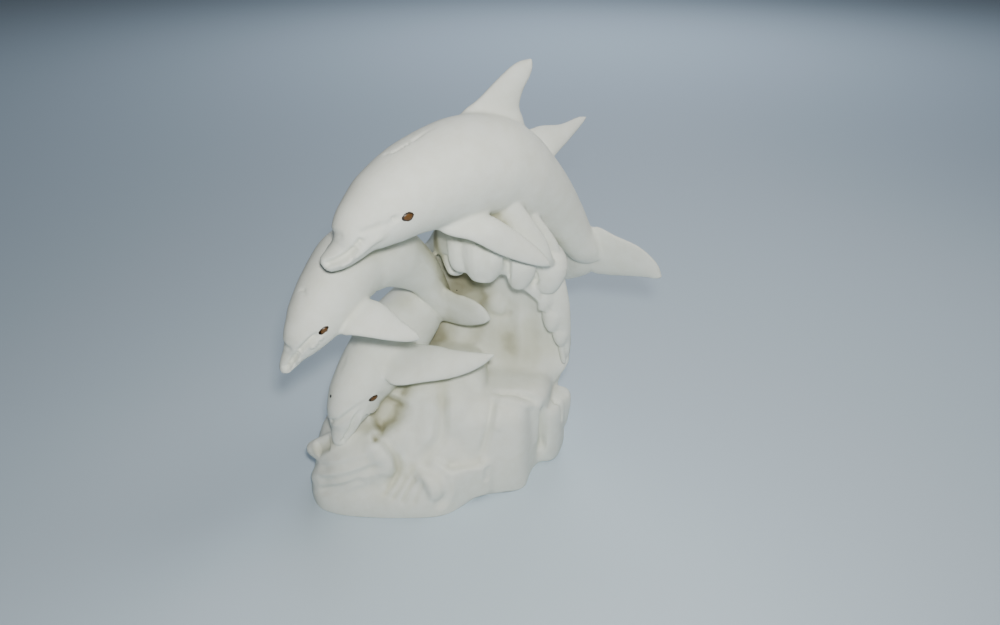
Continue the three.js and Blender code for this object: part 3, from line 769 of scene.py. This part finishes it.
def eyePiece(eye, turn, name):
    t, angle = eye["place"]
    t0, t1 = bodySurface(eye["dolphin"], [t - 0.01, t + 0.01], [angle - turn, angle - turn])
    away = 1 if turn == 0 else -1
    a0, a1 = bodySurface(eye["dolphin"], [t, t], [angle - turn - 4 * away, angle - turn + 4 * away])
    middle = (a0 + a1) / 2
    tail, belly = unit(t1 - t0), unit(a1 - a0)
    outward = unit(np.cross(tail, belly) * -away)
    belly = np.cross(outward, tail) * np.sign(np.dot(np.cross(outward, tail), belly))
    tilt = math.radians(eye["tilt"])
    longWay = tail * math.cos(tilt) + belly * math.sin(tilt)
    wideWay = np.cross(outward, longWay)
    rings, rows, sides = [], 9, 40
    for row in range(rows):
        r = 1 - row / (rows - 1)
        ring = []
        for side in range(sides):
            turnRound = 2 * math.pi * side / sides
            lengthwise, crosswise = math.cos(turnRound), math.sin(turnRound)
            x = eye["size"][0] / 2 * r * lengthwise
            y = eye["size"][1] / 2 * r * crosswise * abs(crosswise) ** paintFilm["almond"]
            spot = middle + longWay * x + wideWay * y
            start = Vector(spot + outward * paintFilm["lift"])
            hit = surface.ray_cast(start, Vector(-outward), paintFilm["reach"])[0]
            skin = np.array(hit) if hit is not None else spot
            film = paintFilm["edge"] + paintFilm["dome"] * (1 - r**2) if row else -paintFilm["sink"]
            ring.append(skin + outward * film)
        rings.append(ring)
    bm = tube((np.array(rings) - footCentre) * mm, "rim", [1 - row / (rows - 1) for row in range(rows)])
    mesh = bpy.data.meshes.new(name)
    for face in bm.faces:
        face.smooth = True
    bm.to_mesh(mesh)
    bm.free()
    piece = bpy.data.objects.new(name, mesh)
    bpy.context.scene.collection.objects.link(piece)
    return piece


eyePieces = []
for eye in eyes:
    for sideName, turn in (("near", 0), ("far", farTurn)):
        eyePieces.append(eyePiece(eye, turn, eye["name"] + "_dolphin_" + sideName + "_eye"))


# Materials

def linear(hexText):
    parts = [int(hexText[k:k + 2], 16) / 255 for k in (1, 3, 5)]
    return tuple(p / 12.92 if p <= 0.04045 else ((p + 0.055) / 1.055) ** 2.4 for p in parts) + (1.0,)


def addNode(tree, kind, links=None, **settings):
    # Adds a node. Settings name its sockets or properties, and links name sockets and what feeds them.
    node = tree.nodes.new(kind)
    for name, value in settings.items():
        if hasattr(node, name):
            setattr(node, name, value)
        else:
            node.inputs[name.replace("_", " ")].default_value = value
    for name, source in (links or {}).items():
        tree.links.new(source, node.inputs[name])
    return node


def mixColours(tree, factor, a, b):
    node = tree.nodes.new("ShaderNodeMix")
    node.data_type = "RGBA"
    for socket, value in ((node.inputs[0], factor), (node.inputs[6], a), (node.inputs[7], b)):
        if isinstance(value, bpy.types.NodeSocket):
            tree.links.new(value, socket)
        else:
            socket.default_value = value
    return node.outputs[2]


bisque = {
    # After white and warm come painted shade colours, yellow-grey and dark olive, laid where hollows and
    # sheltered spots are
    "white": "#E6E9E1", "warm": "#DADBCD", "shadeYellow": "#B7B79B", "deep": "#7F7A60",
    "patch": 34, "mottle": 7, "grain": 0.45,   # mm
    "specks": [   # place and radius in mm
        ((-58, -34.5, 73), 1.0), ((-57.5, -36.5, 70), 0.55), ((11, 33, 106), 0.5),
    ],
    "speck": "#16140F",
}


def bisquePorcelain():
    # Unglazed fired porcelain: matt and chalky white, with painted shade in yellow-grey and dark olive in
    # its hollows and sheltered places.
    material = bpy.data.materials.new("unglazed_bisque_porcelain")
    material.use_nodes = True
    tree = material.node_tree
    shader = tree.nodes["Principled BSDF"]
    place = addNode(tree, "ShaderNodeTexCoord").outputs["Object"]
    noises = {}
    for name in ("patch", "mottle", "grain"):
        noises[name] = addNode(tree, "ShaderNodeTexNoise", {"Vector": place}, Detail=3.0, Roughness=0.55,
                               Scale=1 / (bisque[name] * mm)).outputs["Fac"]
    # The point value of painted shade with a yellow tint, made patchy by a noise
    shade_and_yellow = addNode(tree, "ShaderNodeAttribute", attribute_name="shade_and_yellow").outputs["Fac"]
    patchy = addNode(tree, "ShaderNodeMapRange", {"Value": noises["patch"]}, From_Min=0.3, From_Max=0.7,
                     To_Min=0.55, To_Max=1.25).outputs["Result"]
    shadedYellow = addNode(tree, "ShaderNodeMath", operation="MULTIPLY", use_clamp=True)
    tree.links.new(shade_and_yellow, shadedYellow.inputs[0])
    tree.links.new(patchy, shadedYellow.inputs[1])
    warmth = addNode(tree, "ShaderNodeMapRange", {"Value": noises["mottle"]}, From_Min=0.35, From_Max=0.7,
                     To_Min=0.0, To_Max=0.45).outputs["Result"]
    shadedYellow = shadedYellow.outputs[0]
    light = addNode(tree, "ShaderNodeMapRange", {"Value": shadedYellow}, From_Min=0.08, From_Max=0.85,
                    To_Min=0.0, To_Max=0.9).outputs["Result"]
    deep = addNode(tree, "ShaderNodeMapRange", {"Value": shadedYellow}, From_Min=0.6, From_Max=1.0,
                   To_Min=0.0, To_Max=0.7).outputs["Result"]
    colour = mixColours(tree, warmth, linear(bisque["white"]), linear(bisque["warm"]))
    colour = mixColours(tree, light, colour, linear(bisque["shadeYellow"]))
    colour = mixColours(tree, deep, colour, linear(bisque["deep"]))
    for spot, radius in bisque["specks"]:
        apart = addNode(tree, "ShaderNodeVectorMath", operation="DISTANCE")
        tree.links.new(place, apart.inputs[0])
        apart.inputs[1].default_value = tuple((np.array(spot) - footCentre) * mm)
        dot = addNode(tree, "ShaderNodeMapRange", {"Value": apart.outputs["Value"]}, From_Min=radius * mm,
                      From_Max=radius * mm * 1.25, To_Min=1.0, To_Max=0.0).outputs["Result"]
        colour = mixColours(tree, dot, colour, linear(bisque["speck"]))
    tree.links.new(colour, shader.inputs["Base Color"])
    uneven = addNode(tree, "ShaderNodeBump", {"Height": noises["mottle"]}, Strength=0.35,
                     Distance=0.35 * mm).outputs["Normal"]
    skin = addNode(tree, "ShaderNodeBump", {"Height": noises["grain"], "Normal": uneven},
                   Strength=0.3, Distance=0.06 * mm)
    tree.links.new(skin.outputs["Normal"], shader.inputs["Normal"])
    shader.inputs["Roughness"].default_value = 0.7
    shader.inputs["IOR"].default_value = 1.5
    return material


enamel = {"brown": "#4F3415", "worn": "#6E4A1E", "outline": "#2B1D0F", "brushMarks": 900.0}


def firedEnamelPaint():
    # Brown overglaze paint with a thin darker outline, fired to a soft shine.
    material = bpy.data.materials.new("fired_enamel_paint")
    material.use_nodes = True
    tree = material.node_tree
    shader = tree.nodes["Principled BSDF"]
    rim = addNode(tree, "ShaderNodeAttribute", attribute_name="rim").outputs["Fac"]
    place = addNode(tree, "ShaderNodeTexCoord").outputs["Object"]
    brushed = addNode(tree, "ShaderNodeTexNoise", {"Vector": place}, Scale=enamel["brushMarks"],
                      Detail=2.0).outputs["Fac"]
    edge = addNode(tree, "ShaderNodeMapRange", {"Value": rim}, From_Min=0.58, From_Max=0.7,
                   To_Min=0.0, To_Max=1.0).outputs["Result"]
    colour = mixColours(tree, brushed, linear(enamel["brown"]), linear(enamel["worn"]))
    colour = mixColours(tree, edge, colour, linear(enamel["outline"]))
    tree.links.new(colour, shader.inputs["Base Color"])
    shader.inputs["Roughness"].default_value = 0.38
    shader.inputs["IOR"].default_value = 1.5
    return material


sculpture.data.materials.clear()
sculpture.data.materials.append(bisquePorcelain())
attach(sculpture, "root")
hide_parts("dolphin_sculpture")
paint = firedEnamelPaint()
for piece in eyePieces:
    piece.data.materials.append(paint)
    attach(piece, "root")


# Table, light and camera

studio = {
    "eye": (38, -372, 318), "pitchDown": 29.4, "lens": 26.17,   # mm, degrees, mm on a 36 mm sensor
    "floorSide": 6, "floorColour": "#C2D2DE",                   # m
    "airColour": "#C3CFDA", "airStrength": 0.12,
    "lights": {   # place, aim and size in metres, power in watts, colour
        "overhead_softbox": ((0.42, 0.12, 0.7), (0, 0, 0.06), 0.4, 2.2, "#FFFDF8"),
        "far_softbox": ((0.3, 1.7, 1.3), (0.1, 1.5, 0), 1.2, 18, "#EEF5FF"),
        "camera_flash": ((0.02, -0.37, 0.35), (-0.02, 0, 0.12), 0.03, 1.8, "#FFFEF8"),
    },
}


def drawnPlace(point):
    return (np.array(point, float) - footCentre) * mm


def plainTable(name, side, colour):
    bm = bmesh.new()
    bmesh.ops.create_grid(bm, x_segments=8, y_segments=8, size=side / 2)
    mesh = bpy.data.meshes.new(name)
    bm.to_mesh(mesh)
    bm.free()
    table = bpy.data.objects.new(name, mesh)
    bpy.context.scene.collection.objects.link(table)
    material = bpy.data.materials.new("matt_table_paint")
    material.use_nodes = True
    shader = material.node_tree.nodes["Principled BSDF"]
    shader.inputs["Base Color"].default_value = linear(colour)
    shader.inputs["Roughness"].default_value = 0.6
    mesh.materials.append(material)


def softLight(name, place, aim, size, power, colour):
    lamp = bpy.data.lights.new(name, "AREA")
    lamp.shape = "DISK"
    lamp.size = size
    lamp.energy = power
    lamp.color = linear(colour)[:3]
    thing = bpy.data.objects.new(name, lamp)
    bpy.context.scene.collection.objects.link(thing)
    thing.location = place
    thing.rotation_euler = (Vector(aim) - Vector(place)).to_track_quat("-Z", "Y").to_euler()


plainTable("table_floor", studio["floorSide"], studio["floorColour"])
for name, settings in studio["lights"].items():
    softLight(name, *settings)
world = bpy.data.worlds.new("studio_air")
bpy.context.scene.world = world
world.use_nodes = True
air = world.node_tree.nodes["Background"]
air.inputs["Color"].default_value = linear(studio["airColour"])
air.inputs["Strength"].default_value = studio["airStrength"]

lens = bpy.data.cameras.new("phone_camera")
lens.lens = studio["lens"]
lens.sensor_width = 36
camera = bpy.data.objects.new("phone_camera", lens)
camera.location = drawnPlace(studio["eye"])
camera.rotation_euler = (math.radians(90 - studio["pitchDown"]), 0, 0)
bpy.context.scene.collection.objects.link(camera)
bpy.context.scene.camera = camera
